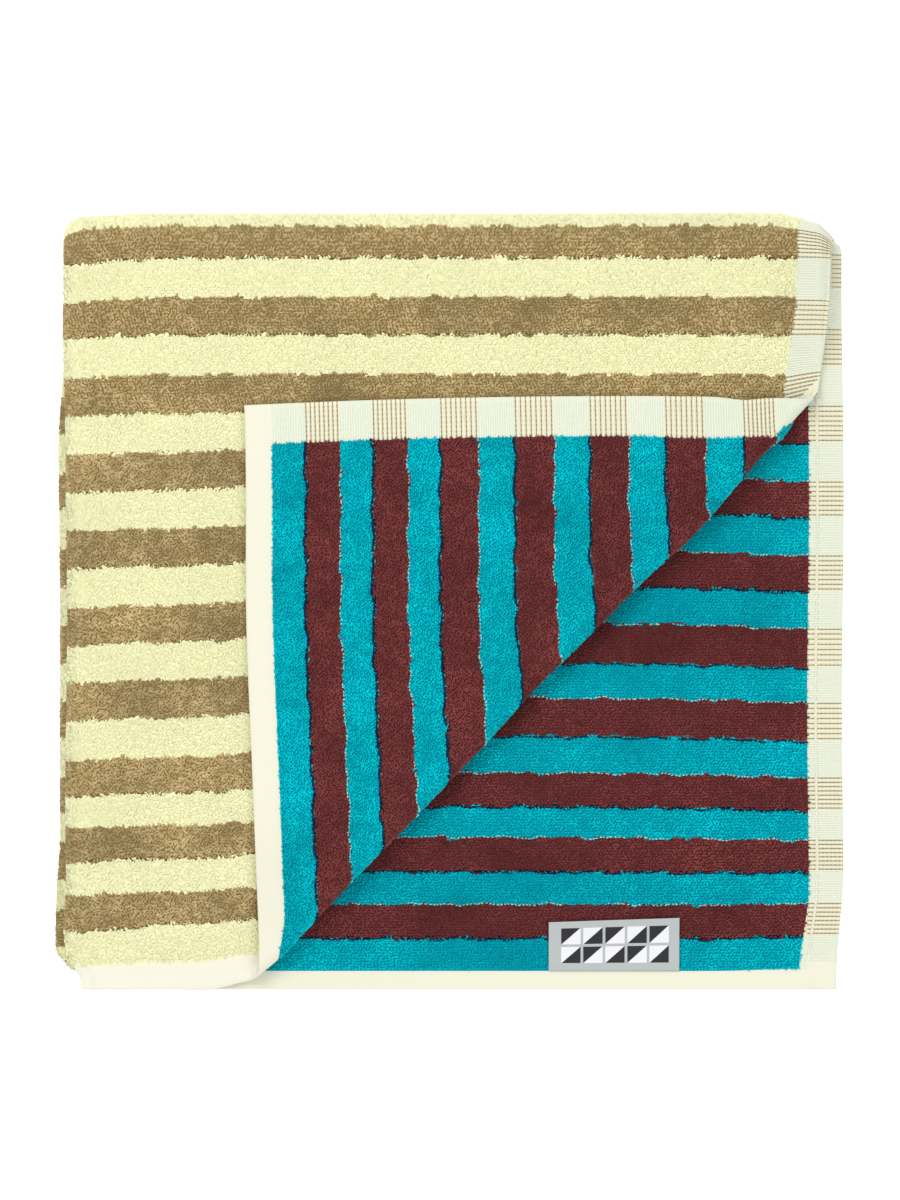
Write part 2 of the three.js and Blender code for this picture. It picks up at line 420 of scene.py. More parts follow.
def settle(cloth):
    # small slips of the folded cloth: the far fold and the near edge out, a rounded far corner
    x, y = (cloth["mid"][..., k].copy() for k in (0, 1))
    upper = cloth["upper"][:, None]
    onTop, under = cloth["zone"] == 0, cloth["zone"] == 6
    near, second = onTop & upper, under & upper
    past, fromEnd, v = cloth["past"], cloth["fromEnd"], cloth["across"]
    y += 1.1 * ramp(y, 50, 105) - 0.9 * ramp(y, -85, -120)
    y -= 1.2 * ramp(x, -96, -122) * ramp(y, 84, 114)
    # a soft fold in the top layer's near hem
    lift = hump(x, -64, 9.5) * ramp(y, -106, -116) * near
    y += 2.6 * lift
    cloth["mid"][..., 2] += 0.9 * lift
    # the diagonal fold runs a little uneven
    along = (x - turned["point"][0]) * -away[1] + (y - turned["point"][1]) * away[0]
    bow = 1.1 * ramp(along, -234, -248) + 2.9 * hump(along, -50, 22)
    bow *= ramp(fromEnd, 3, 17)
    bow += 1.5 * hump(along, -14, 4) - 1.1 * hump(along, -126, 14)
    back = np.maximum(0, past - math.pi * turned["radius"])
    y -= bow * near * ramp(past, -14, 0) * ramp(back, 30, 0)
    x -= 1.35 * hump(fromEnd, 68, 42) * near * ramp(past, 8, 28)
    # the second layer draws in at its near corner
    x -= 2.2 * ramp(y, -84, -120) * ramp(x, 110, 122) * second
    cloth["mid"][..., 0], cloth["mid"][..., 1] = x, y
    # hem widths as the inner face shows them
    other = fromEnd.copy()
    other[onTop] *= stack["endHem"] / stack["turnedHem"]
    other[under] /= (1 + 0.22 * ramp(v, 34, 8))[under]
    narrow = 0.04 * ramp(v, 145, 165) + 0.1 * ramp(v, 160, 170) + 0.45 * ramp(v, 169.5, 175.5)
    other[onTop] *= (1 + narrow)[onTop]
    cloth["fromEndB"] = other
    # stripes lie a little off their even places
    flap, bare = near * (past > 4), near * (past <= 4)
    slip = flap * np.interp(v, *slips["flap"]) + second * np.interp(v, *slips["second"])
    slip -= bare * 1.5 * ramp(x, -106, -94) * hump(v, 19, 7)
    slip += flap * (1.2 * ramp(y, -102, -108) + ramp(y, -108, -112)) * (v < 18)
    slip -= second * 2.4 * (fromEnd < stack["endHem"] - 0.2) * ramp(v, 15, 12)
    # at the fold point the weave runs askew
    askew = 0.32 * hump(cloth["flatY"], 64, 12) * ramp(past, 11, 3)
    slip -= near * askew * np.clip(stack["endHem"] - fromEnd, 0, None)
    cloth["across"] = v + slip


cloth = makeRows()
print("rows and stations", cloth["mid"].shape)

# ground cloth is thin under the pile and full at the flat-woven hems
ground = {"pile": 0.85, "least": 0.3, "edge": 0.55}


def groundHalf():
    endHem, sideHem = stack["endHem"], stack["sideHem"]
    hem = np.maximum(ramp(cloth["fromEnd"], endHem + 1.2, endHem + 0.4),
                     ramp(cloth["across"], sideHem + 0.4, sideHem - 0.4))
    thin = np.maximum(ground["least"], cloth["half"] - ground["pile"])
    tip = np.minimum(cloth["fromEnd"], cloth["across"])
    return mix(thin, cloth["half"], hem) * mix(ground["edge"], 1, ramp(tip, 0, 0.5))


outward = cloth["face"] * groundHalf()[..., None]
cloth["sideA"], cloth["sideB"] = cloth["mid"] + outward, cloth["mid"] - outward


def tone(r, g, b):
    def one(c):
        c /= 255
        return c / 12.92 if c <= 0.04045 else ((c + 0.055) / 1.055) ** 2.4
    return (one(r), one(g), one(b), 1)


# shader helpers
def group(name, vectors=(), colours=(), values=()):
    # every group gives a colour and a relief
    tree = bpy.data.node_groups.new(name, "ShaderNodeTree")
    for labels, kind in ((vectors, "Vector"), (colours, "Color"), (values, "Float")):
        for label in labels:
            tree.interface.new_socket(label, in_out="INPUT", socket_type="NodeSocket" + kind)
    for label, kind in (("Colour", "Color"), ("Relief", "Float")):
        tree.interface.new_socket(label, in_out="OUTPUT", socket_type="NodeSocket" + kind)
    return tree, tree.nodes.new("NodeGroupInput"), tree.nodes.new("NodeGroupOutput")


def link(tree, *pairs):
    for a, b in pairs:
        tree.links.new(a, b)


def feed(tree, *pairs):
    for socket, value in pairs:
        if isinstance(value, bpy.types.NodeSocket):
            tree.links.new(value, socket)
        else:
            socket.default_value = value


def mixNode(tree, factor, a, b, blend="MIX"):
    node = tree.nodes.new("ShaderNodeMix")
    node.data_type = "RGBA"
    node.blend_type = blend
    feed(tree, (node.inputs[0], factor), (node.inputs[6], a), (node.inputs[7], b))
    return node.outputs[2]


def mathNode(tree, kind, a, b=0.0):
    node = tree.nodes.new("ShaderNodeMath")
    node.operation = kind
    feed(tree, (node.inputs[0], a), (node.inputs[1], b))
    return node.outputs[0]


def noiseNode(tree, scale, detail=2):
    place = tree.nodes.new("ShaderNodeTexCoord")
    noise = tree.nodes.new("ShaderNodeTexNoise")
    noise.inputs["Scale"].default_value = scale
    noise.inputs["Detail"].default_value = detail
    link(tree, (place.outputs["Object"], noise.inputs["Vector"]))
    return noise.outputs["Fac"]


def weaveNode(tree, vector, scale, distortion):
    weave = tree.nodes.new("ShaderNodeTexWave")
    weave.inputs["Scale"].default_value = scale
    weave.inputs["Distortion"].default_value = distortion
    link(tree, (vector, weave.inputs["Vector"]))
    return weave.outputs["Fac"]


def swingNode(tree, value, much):
    # a mask turned into a swing either way of nought
    return mathNode(tree, "MULTIPLY", mathNode(tree, "SUBTRACT", value, 0.5), much)


def steps(tree, value, starts, ends, span):
    node = tree.nodes.new("ShaderNodeValToRGB")
    bar = node.color_ramp
    bar.interpolation = "CONSTANT"
    bar.elements[0].position = 0
    bar.elements[0].color = (0, 0, 0, 1)
    bar.elements.remove(bar.elements[1])
    for a, b in zip(starts, ends):
        bar.elements.new(a / span).color = (1, 1, 1, 1)
        bar.elements.new(b / span).color = (0, 0, 0, 1)
    tree.links.new(value, node.inputs[0])
    return node.outputs[0]


def makeGroundGroup():
    tree, come, go = group("stripedGround", ["Cloth UV"], [
        "Light Yarn", "Dark Yarn", "Start Shadow", "Hem Light", "Hem Dark", "Side Hem"])
    split = tree.nodes.new("ShaderNodeSeparateXYZ")
    link(tree, (come.outputs["Cloth UV"], split.inputs[0]))
    u, v = split.outputs[0], split.outputs[1]
    span = uvSpan[1]
    straight = v
    for high, length, drift in wanders:
        turnBy = mathNode(tree, "ADD", mathNode(tree, "MULTIPLY", u, uvSpan[0] / length),
                          mathNode(tree, "MULTIPLY", straight, span * drift))
        wave = mathNode(tree, "MULTIPLY", mathNode(tree, "SINE", turnBy), high / span)
        v = mathNode(tree, "ADD", v, wave)
    stripe = steps(tree, v, stripes["start"], stripes["end"], span)
    # a painted shadow line along each stripe's start edge
    line = steps(tree, v, [a - 0.4 for a in stripes["start"]], [a + 0.3 for a in stripes["start"]], span)
    yarn = mixNode(tree, stripe, come.outputs["Light Yarn"], come.outputs["Dark Yarn"])
    yarn = mixNode(tree, line, yarn, come.outputs["Start Shadow"])
    plainStripe = steps(tree, straight, stripes["start"], stripes["end"], span)
    hem = mixNode(tree, plainStripe, come.outputs["Hem Light"], come.outputs["Hem Dark"])
    atEnd = mathNode(tree, "LESS_THAN", u, stack["endHem"] / uvSpan[0])
    atSide = mathNode(tree, "LESS_THAN", straight, stack["sideHem"] / span)
    colour = mixNode(tree, atEnd, yarn, hem)
    colour = mixNode(tree, atSide, colour, come.outputs["Side Hem"])
    weave = weaveNode(tree, come.outputs["Cloth UV"], 420, 2.5)
    link(tree, (colour, go.inputs["Colour"]), (weave, go.inputs["Relief"]))
    return tree


def makeYarnGroup():
    tree, come, go = group("loopShade", [], ["Yarn", "Root Shade", "Tip"], ["Spread", "Mottle"])
    shade, depth = tree.nodes.new("ShaderNodeAttribute"), tree.nodes.new("ShaderNodeAttribute")
    shade.attribute_name, depth.attribute_name = "shade", "depth"
    clump, cloud, fuzz = (noiseNode(tree, *how) for how in ((330, 1), (55, 3), (4200, 2)))
    swing = mathNode(tree, "ADD", swingNode(tree, shade.outputs["Fac"], 0.5), swingNode(tree, clump, 3.4))
    swing = mathNode(tree, "MULTIPLY", swing, come.outputs["Spread"])
    swing = mathNode(tree, "ADD", swing, 0.5)
    light = mixNode(tree, swing, come.outputs["Yarn"], come.outputs["Tip"])
    # the darker root tone at each loop's base is painted shade between the loops
    colour = mixNode(tree, depth.outputs["Fac"], come.outputs["Root Shade"], light)
    worn = swingNode(tree, cloud, come.outputs["Mottle"])
    colour = mixNode(tree, 1.0, colour, mathNode(tree, "ADD", worn, 1.0), "MULTIPLY")
    link(tree, (colour, go.inputs["Colour"]), (fuzz, go.inputs["Relief"]))
    return tree


groundGroup = makeGroundGroup()
yarnGroup = makeYarnGroup()


def blankMaterial(name, roughness):
    material = bpy.data.materials.new(name)
    material.use_nodes = True
    shader = material.node_tree.nodes["Principled BSDF"]
    shader.inputs["Roughness"].default_value = roughness
    shader.inputs["Specular IOR Level"].default_value = 0.06
    return material, material.node_tree, shader


def groupMaterial(name, shades, values, depth, strength, uvName=None, roughness=0.95):
    # a material whose colour and relief come from a group
    material, tree, shader = blankMaterial(name, roughness)
    node = tree.nodes.new("ShaderNodeGroup")
    node.node_tree = shades
    for socket in node.inputs:
        if socket.name in values:
            socket.default_value = values[socket.name]
    if uvName:
        uv = tree.nodes.new("ShaderNodeUVMap")
        uv.uv_map = uvName
        link(tree, (uv.outputs[0], node.inputs[0]))
    bump = tree.nodes.new("ShaderNodeBump")
    bump.inputs["Strength"].default_value = strength
    bump.inputs["Distance"].default_value = depth * mm
    link(tree, (node.outputs["Colour"], shader.inputs["Base Color"]),
         (node.outputs["Relief"], bump.inputs["Height"]), (bump.outputs[0], shader.inputs["Normal"]))
    return material


# the ground's yarn tones match the pile's darker root tones: painted shade in the gaps between loops
outerFace = {
    "Light Yarn": tone(235, 234, 183), "Dark Yarn": tone(142, 121, 77),
    "Start Shadow": tone(112, 92, 50), "Side Hem": tone(229, 227, 209),
    "Hem Light": tone(215, 220, 200), "Hem Dark": tone(227, 223, 195),
}
innerFace = {
    "Light Yarn": tone(0, 149, 165), "Dark Yarn": tone(94, 44, 44),
    "Start Shadow": tone(16, 30, 52), "Side Hem": tone(226, 224, 204),
    "Hem Light": tone(215, 221, 201), "Hem Dark": tone(227, 223, 195),
}
groundOuter = groupMaterial("groundYellowOlive", groundGroup, outerFace, 0.06, 0.35, "clothUV")
groundInner = groupMaterial("groundTealMaroon", groundGroup, innerFace, 0.06, 0.35, "clothUV")


# the towel's ground cloth
def meshOf(name, points, faces, materials, normals=None):
    mesh = bpy.data.meshes.new(name)
    size = faces.shape[1]
    mesh.vertices.add(len(points))
    mesh.vertices.foreach_set("co", (np.asarray(points) * mm).astype(np.float32).ravel())
    mesh.loops.add(faces.size)
    mesh.loops.foreach_set("vertex_index", faces.astype(np.int32).ravel())
    mesh.polygons.add(len(faces))
    mesh.polygons.foreach_set("loop_start", np.arange(len(faces), dtype=np.int32) * size)
    mesh.polygons.foreach_set("use_smooth", np.ones(len(faces), bool))
    mesh.update(calc_edges=True)
    if normals is not None:
        mesh.normals_split_custom_set_from_vertices(normals.astype(np.float32))
    for material in materials:
        mesh.materials.append(material)
    piece = bpy.data.objects.new(name, mesh)
    bpy.context.scene.collection.objects.link(piece)
    return piece


def giveUv(piece, name, uv):
    corners = np.zeros(len(piece.data.loops), np.int32)
    piece.data.loops.foreach_get("vertex_index", corners)
    layer = piece.data.uv_layers.new(name=name)
    layer.data.foreach_set("uv", uv[corners].astype(np.float32).ravel())


def signedVolume(points, faces):
    first = points[faces[:, 0]]
    volume = 0.0
    for k in range(1, faces.shape[1] - 1):
        volume += np.einsum("ij,ij->i", first, np.cross(points[faces[:, k]], points[faces[:, k + 1]])).sum()
    return volume


def makeCloth():
    a, b = cloth["sideA"], cloth["sideB"][:, ::-1]
    rows, count = a.shape[0], a.shape[1] * 2
    points = np.concatenate([a, b], 1).reshape(-1, 3)
    points[:, 2] = np.maximum(points[:, 2], 0)
    j, i = np.meshgrid(np.arange(rows - 1), np.arange(count), indexing="ij")
    here, there = j * count + i, j * count + (i + 1) % count
    walls = np.stack([here, there, there + count, here + count], -1).reshape(-1, 4)
    k = np.arange(count // 2 - 1)
    end = (rows - 1) * count
    nearCap = np.stack([k, count - 1 - k, count - 2 - k, k + 1], -1)
    farCap = np.stack([end + k, end + k + 1, end + count - 2 - k, end + count - 1 - k], -1)
    faces = np.concatenate([walls, nearCap, farCap])
    if signedVolume(points, faces) < 0:
        faces = faces[:, ::-1]
    piece = meshOf("towelCloth", points, faces, [groundOuter, groundInner])
    inner = np.zeros(len(faces), np.int32)
    column = np.tile(np.arange(count), rows - 1)
    inner[:len(walls)] = (column >= count // 2) & (column < count - 1)
    piece.data.polygons.foreach_set("material_index", inner)
    outer, back = (np.stack([cloth[key] / uvSpan[0], cloth["across"] / uvSpan[1]], -1)
                   for key in ("fromEnd", "fromEndB"))
    giveUv(piece, "clothUV", np.concatenate([outer, back[:, ::-1]], 1).reshape(-1, 2))
    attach(piece, "root")
    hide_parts("towel")
    return piece


clothPiece = makeCloth()
print("ground cloth", len(clothPiece.data.polygons) * 2, "triangles")

# terry pile: one small loop, planted many times
pile = {
    "rowStep": 0.94,          # between rows of loops, mm
    "loopStep": 1.08,         # along a row
    "underRow": 2.8,
    "underLoop": 2.6,
}
# Root Shade: a darker tone painted at each loop's base as shade
looks = {
    "yellow": {"Yarn": tone(237, 236, 190), "Root Shade": tone(235, 234, 183), "Tip": tone(239, 238, 196),
               "Spread": 0.7, "Mottle": 0.16, "soften": 0.93},
    "olive": {"Yarn": tone(169, 148, 103), "Root Shade": tone(142, 121, 77), "Tip": tone(202, 181, 134),
              "Spread": 1.0, "Mottle": 1.2, "soften": 0.55},
    "teal": {"Yarn": tone(0, 181, 197), "Root Shade": tone(0, 149, 165), "Tip": tone(0, 208, 218),
             "Spread": 1.15, "Mottle": 0.9, "soften": 0.78},
    "maroon": {"Yarn": tone(113, 54, 55), "Root Shade": tone(94, 44, 44), "Tip": tone(133, 69, 67),
               "Spread": 1.1, "Mottle": 1.2, "soften": 0.8},
    # painted shadow along the dark stripes' start edges
    "navyShadow": {"Yarn": tone(14, 36, 64), "Root Shade": tone(10, 24, 48), "Tip": tone(30, 54, 82),
             "Spread": 0.9, "Mottle": 0.3, "soften": 0.3},
    "pale": {"Yarn": tone(150, 212, 206), "Root Shade": tone(90, 150, 148), "Tip": tone(200, 236, 230),
             "Spread": 1.3, "Mottle": 0.3, "soften": 0.3},
    # painted shadow along the olive stripes' start edges on the top layer
    "umberShadow": {"Yarn": tone(122, 100, 58), "Root Shade": tone(104, 84, 48), "Tip": tone(142, 120, 74),
              "Spread": 0.9, "Mottle": 0.3, "soften": 0.3},
}
pileMaterials = {name: groupMaterial("yarn" + name.capitalize(), yarnGroup, look, 0.05, 0.4)
                 for name, look in looks.items()}


# soft patches of painted shade on the second layer's pile, where it reads darker: middle, reach, how much
paintedShadePatches = [(66, -3, 34, 0.7), (18, -108, 32, 0.9)]


# one loop: a bent ridge between two rooted ends, 8 triangles
def loopShape():
    points = np.array([(-0.82, 0, -0.15), (-0.38, 0, 0.66), (0.40, 0, 0.72), (0.84, 0, -0.15),
                       (0.02, 0.29, 0.12), (-0.02, -0.29, 0.12)])
    normals = np.array([(-0.8, 0, 0.6), (-0.25, 0, 1), (0.25, 0, 1), (0.8, 0, 0.6),
                        (0, 0.9, 0.35), (0, -0.9, 0.35)])
    faces = np.array([(0, 1, 4), (1, 2, 4), (2, 3, 4), (0, 5, 1),
                      (1, 5, 2), (2, 5, 3), (0, 4, 3), (0, 3, 5)])
    if signedVolume(points, faces) < 0:
        faces = faces[:, ::-1]
    return points, unit(normals), faces


def between(value, j, i, t, f):
    # the value inside one cell of the cloth's grid
    return mix(mix(value[j, i], value[j + 1, i], t), mix(value[j, i + 1], value[j + 1, i + 1], t), f)


def latticeOn(surface, normal, values, rowStep, loopStep, rng):
    # walks rows of loops over a patch of the cloth, evenly by real length
    ref = surface.shape[1] // 2
    rowAt = runLength(surface[:, ref])
    out = []
    for k in range(int(rowAt[-1] / rowStep)):
        v = (k + 0.5) * rowStep
        j = min(int(np.searchsorted(rowAt, v, "right")) - 1, len(rowAt) - 2)
        t = (v - rowAt[j]) / (rowAt[j + 1] - rowAt[j])
        line = mix(surface[j], surface[j + 1], t)
        step = np.linalg.norm(np.diff(line, axis=0), axis=1)
        at = np.concatenate([[0], np.cumsum(step)])
        count = int(at[-1] / loopStep)
        if count < 1:
            continue
        a = (np.arange(count) + 0.25 + 0.5 * (k % 2)) * loopStep + rng.uniform(-0.25, 0.25, count) * loopStep
        a = np.clip(a, 0, at[-1] - 1e-6)
        i = np.clip(np.searchsorted(at, a, "right") - 1, 0, len(at) - 2)
        f = ((a - at[i]) / np.maximum(step[i], 1e-9))[:, None]
        up = unit(between(normal, j, i, t, f))
        ahead, side = squareTo(up, line[i + 1] - line[i])
        place = mix(line[i], line[i + 1], f) + side * (rng.uniform(-0.25, 0.25, count) * rowStep)[:, None]
        extra = [between(value, j, i, t, f[:, 0]) for value in values]
        out.append(np.concatenate([place, up, ahead, side, np.stack(extra, 1)], 1))
    return np.concatenate(out)


def plant(name, found, colour, rng, stretch=1.0, wide=1.2, swing=0.75, sink=0.0, nap=0.0, flat=()):
    shape, bent, faces = loopShape()
    count, size = len(found), len(shape)
    place, up, ahead, side = (found[:, k:k + 3] for k in (0, 3, 6, 9))
    turn = rng.normal(0, swing, count) + math.pi * rng.integers(0, 2, count)
    ux = ahead * np.cos(turn)[:, None] + side * np.sin(turn)[:, None]
    uy = np.cross(up, ux)
    grow = rng.uniform(0.85, 1.15, (count, 1))
    x = shape[None, :, 0] * grow * stretch * rng.uniform(0.8, 1.25, (count, 1))
    y = shape[None, :, 1] * grow * wide
    z = shape[None, :, 2] * grow - sink
    lean = rng.normal(0, 0.2, (count, 1, 2))
    curl = np.zeros((1, size, 2))
    curl[0, 1, 0] = 1
    curl[0, 2, 1] = 1
    y = y + (lean * curl).sum(-1)
    points = (place[:, None] + ux[:, None] * x[..., None] + uy[:, None] * y[..., None]
              + up[:, None] * z[..., None])
    points += side[:, None] * (nap * np.maximum(z, 0) * rng.uniform(0.5, 1.5, (count, 1)))[..., None]
    points[..., 2] = np.maximum(points[..., 2], 0.03)
    normals = (ux[:, None] * bent[None, :, :1] + uy[:, None] * bent[None, :, 1:2]
               + up[:, None] * bent[None, :, 2:])
    normals = unit(mix(normals, up[:, None], looks[colour]["soften"]))
    index = faces[None] + (np.arange(count) * size)[:, None, None]
    piece = meshOf(name, points.reshape(-1, 3), index.reshape(-1, 3), [pileMaterials[colour]],
                   normals.reshape(-1, 3))
    shade = np.repeat(rng.uniform(0, 1, count), size).astype(np.float32)
    # painted shade: depth mixes in the darker root tone towards each loop's base, more so inside the shade
    # patches
    lit = np.ones(count)
    for x, y, reach, much in flat:
        lit *= 1 - much * np.exp(-((place[:, 0] - x) ** 2 + (place[:, 1] - y) ** 2) / reach ** 2)
    depth = (lit[:, None] * np.clip(shape[:, 2] / 0.7, 0, 1)).ravel().astype(np.float32)
    for label, data in (("shade", shade), ("depth", depth)):
        piece.data.attributes.new(label, "FLOAT", "POINT").data.foreach_set("value", data)
    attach(piece, "root")
    print(name, count, "loops", count * len(faces), "triangles")


def readings(side):
    return [cloth[key] for key in ("fromEnd" if side == "sideA" else "fromEndB", "across", "past")]


def patch(stations, rows, side):
    cut = np.ix_(rows, stations)
    normal = cloth["face"][cut] * (1 if side == "sideA" else -1)
    return cloth[side][cut], normal, [value[cut] for value in readings(side)]


def plantPatch(name, stations, rows, side, names, keep, rowStep, loopStep, seed, **how):
    rng = np.random.default_rng(seed)
    found = latticeOn(*patch(stations, rows, side), rowStep, loopStep, rng)
    fromEnd, across, past = found[:, 12:15].T
    found = found[(fromEnd > stack["endHem"] - 0.1) & (across > stack["sideHem"] - 0.1) & keep(found, past)]
    v = found[:, 13] + wander(found[:, 12], found[:, 13]) + rng.normal(0, 0.1, len(found))
    dark = inStripe(v)
    for which, colour in ((~dark, names[0]), (dark, names[1])):
        if which.any():
            plant(name + colour.capitalize(), found[which], colour, rng, **how)


zone = cloth["zone"][0]
wrapOut = np.where(zone <= 1)[0][:-3]
topStations = np.where(zone == 0)[0]
secondStations = np.where(zone == 6)[0]
leftWrap = np.where(zone == 1)[0][4:]
rightWrap = np.where(zone == 3)[0]
halfway = grid["turnRows"] // 2
firstTurn = int(np.where(cloth["turning"])[0][0]) - 1
lowHalf = np.arange(0, firstTurn + halfway + 1)
highHalf = np.arange(firstTurn + halfway, len(cloth["rowY"]))
upperIndex = np.where(cloth["upper"])[0]


def openTop(found, past):
    # what the laid-back corner leaves in sight, and a little under its edges
    x, y, z = turned["hides"]
    return (past < 1.0) & ~((found[:, 0] > x) & (found[:, 1] < y) & (found[:, 2] > z))


def pastIn(least, most=math.inf):
    # keeps what lies within these distances past the diagonal fold
    return lambda _, past: (past > least) & (past < most)


flapOut, openSecond, everywhere = pastIn(0.5), pastIn(-7), pastIn(-math.inf)
notTurned, turnedOver = pastIn(-math.inf, 0.5), pastIn(2.5)
dense = (pile["rowStep"], pile["loopStep"])
sparse = (pile["underRow"], pile["underLoop"])
plantPatch("top", wrapOut, highHalf, "sideA", ("yellow", "olive"), openTop, *dense, 11, nap=-0.8)
plantPatch("under", wrapOut, lowHalf, "sideA", ("yellow", "olive"), everywhere, *sparse, 13,
           stretch=1.8, wide=2.0)
plantPatch("corner", topStations, upperIndex, "sideB", ("teal", "maroon"), flapOut, *dense, 14, nap=0.3)
plantPatch("second", secondStations, upperIndex, "sideB", ("teal", "maroon"), openSecond, *dense, 15,
           nap=0.3, flat=paintedShadePatches)
plantPatch("leftWrap", leftWrap, lowHalf, "sideA", ("yellow", "olive"), everywhere, *dense, 17)
plantPatch("innerFold", rightWrap, highHalf, "sideA", ("yellow", "olive"), everywhere, 2.0, 1.6, 16,
           stretch=1.3, wide=1.2)


# lines that follow the cloth
def columnsOf(side, at):
    # place, outward way and the cloth's readings at some of its stations
    way = cloth["face"][at] * (1 if side == "sideA" else -1)
    return [*cloth[side][at].T, *way.T, *(value[at] for value in readings(side))]


def lineAt(v, rows, stations, side):
    # the line where the cloth's width reads v
    if cloth["across"][rows[0], stations[0]] > cloth["across"][rows[-1], stations[0]]:
        rows = rows[::-1]
    return np.array([[np.interp(v, cloth["across"][rows, k], col) for col in columnsOf(side, (rows, k))]
                     for k in stations])


def alongLine(line, step, rng, jitter=0.3):
    reach = runLength(line[:, :3])
    a = np.arange(step / 2, reach[-1], step)
    a = np.clip(a + rng.uniform(-jitter, jitter, len(a)) * step, 0, reach[-1])
    row = np.stack([np.interp(a, reach, line[:, c]) for c in range(line.shape[1])], 1)
    near = np.clip(np.searchsorted(reach, a) - 1, 0, len(reach) - 2)
    up = unit(row[:, 3:6])
    ahead, side = squareTo(up, line[near + 1, :3] - line[near, :3])
    return np.concatenate([row[:, :3], up, ahead, side, row[:, 6:]], 1)


def borderShadowAndYarn(name, edges, rows, stations, side, keep, colour, step, seed, chance=1.0, shift=0.0, **how):
    rng = np.random.default_rng(seed)
    found = []
    for v in edges:
        line = lineAt(v + shift, rows, stations, side)
        way = lineAt(v + shift + 0.5, rows, stations, side)[:, :3] - line[:, :3]
        row = alongLine(np.concatenate([line, way * 2], 1), step, rng)
        row[:, :3] -= row[:, 15:18] * wander(row[:, 12], v)[:, None]
        ok = (row[:, 12] > stack["endHem"]) & (np.abs(row[:, 13] - v - shift) < 0.2)
        ok &= keep(row, row[:, 14])
        # the marks come and go in short runs
        run = np.repeat(rng.uniform(0, 1, len(row) // 3 + 1) < chance, 3)[:len(row)]
        found.append(row[ok & run])
    plant(name, np.concatenate(found), colour, rng, **how)


# navy and umber loops along the stripes' start edges are painted shadow lines
startShadow = {"shift": -0.1, "stretch": 1.0, "wide": 1.7, "swing": 0.25, "sink": -0.3}
endEdge = {"shift": 0.15, "stretch": 0.7, "wide": 0.9, "swing": 0.4, "sink": -0.22}
borderShadowAndYarn("cornerStartShadow", stripes["start"], upperIndex, topStations, "sideB", flapOut, "navyShadow", 0.7, 21,
           chance=0.96, **startShadow)
borderShadowAndYarn("secondStartShadow", stripes["start"], upperIndex, secondStations, "sideB", openSecond, "navyShadow",
           0.8, 22, chance=0.9, **{**startShadow, "wide": 1.1, "sink": -0.15})
borderShadowAndYarn("cornerEndEdge", stripes["end"], upperIndex, topStations, "sideB", flapOut, "pale", 1.2, 23,
           chance=0.85, **endEdge)
borderShadowAndYarn("secondEndEdge", stripes["end"], upperIndex, secondStations, "sideB", openSecond, "pale", 1.2, 24,
           chance=0.85, **endEdge)
borderShadowAndYarn("topStartShadow", stripes["start"], highHalf, wrapOut, "sideA", openTop, "umberShadow", 1.0, 25,
           chance=0.75, shift=0.25, stretch=0.8, wide=0.7, swing=0.5, sink=0.05)


# woven end hems: ribs and dotted threads
hems = {
    "rib": 0.82,              # from rib to rib, mm
    "threads": 8,             # in one group
    "inset": 0.9,             # of the first rib from the side hem
    "gap": (0.45, 0.62),      # before and after a group
    "until": 250.0,           # no ribs further across the cloth
    "dotted": 0.5,
    "dip": 0.82,              # how much darker the yarn gets
    "stitchAt": 8.4,          # from the cloth's end
    "stitchLength": 2.0,
    "stitchGap": 0.5,
}
hemYarns = {
    "brown": {"material": "hemThreadBrown", "tone": tone(146, 132, 100), "radius": 0.24, "sunk": -0.04},
    "cream": {"material": "hemRibCream", "tone": tone(236, 232, 207), "radius": 0.40, "sunk": 0.16},
    "plain": {"material": "hemRibPlain", "tone": tone(234, 237, 219), "radius": 0.26, "sunk": 0.05},
    "stitch": {"material": "hemStitchPale", "tone": tone(236, 236, 218), "radius": 0.36},
}


def plainMaterial(name, colour):
    material, tree, shader = blankMaterial(name, 0.9)
    deep = tuple(c * hems["dip"] for c in colour[:3]) + (1,)
    link(tree, (mixNode(tree, noiseNode(tree, 900), deep, colour), shader.inputs["Base Color"]))
    return material


hemMaterials = {kind: plainMaterial(yarn["material"], yarn["tone"]) for kind, yarn in hemYarns.items()}


def rods(name, lines, kind):
    # thin closed four-sided rods along given lines; each line is points and outward ways
    points, faces, normals = [], [], []
    base = 0
    sides = 4
    turnsAt = [2 * math.pi * (k + 0.5) / sides for k in range(sides)]
    for place, up in lines:
        across = unit(np.cross(up, unit(np.gradient(place, axis=0))))
        count = len(place)
        girth = np.full(count, hemYarns[kind]["radius"])
        if kind == "brown":
            girth[1:-1:2] *= hems["dotted"]
        for k, a in enumerate(turnsAt):
            ring = up * math.sin(a) + across * math.cos(a)
            points.append(place + ring * girth[:, None])
            normals.append(ring * 0.6 + up * 0.4)
        j = np.arange(count - 1)
        for k in range(sides):
            n = (k + 1) % sides
            faces.append(np.stack([base + k * count + j, base + n * count + j,
                                   base + n * count + j + 1, base + k * count + j + 1], 1))
        faces.append(np.array([[3 * count, 2 * count, count, 0],
                               [count - 1, 2 * count - 1, 3 * count - 1, 4 * count - 1]]) + base)
        base += count * sides
    points, faces, normals = np.concatenate(points), np.concatenate(faces), np.concatenate(normals)
    points[:, 2] = np.maximum(points[:, 2], 0)
    if signedVolume(points, faces) < 0:
        faces = faces[:, ::-1]
    piece = meshOf(name, points, faces, [hemMaterials[kind]], unit(normals))
    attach(piece, "root")
    print(name, len(faces) * 2, "triangles")


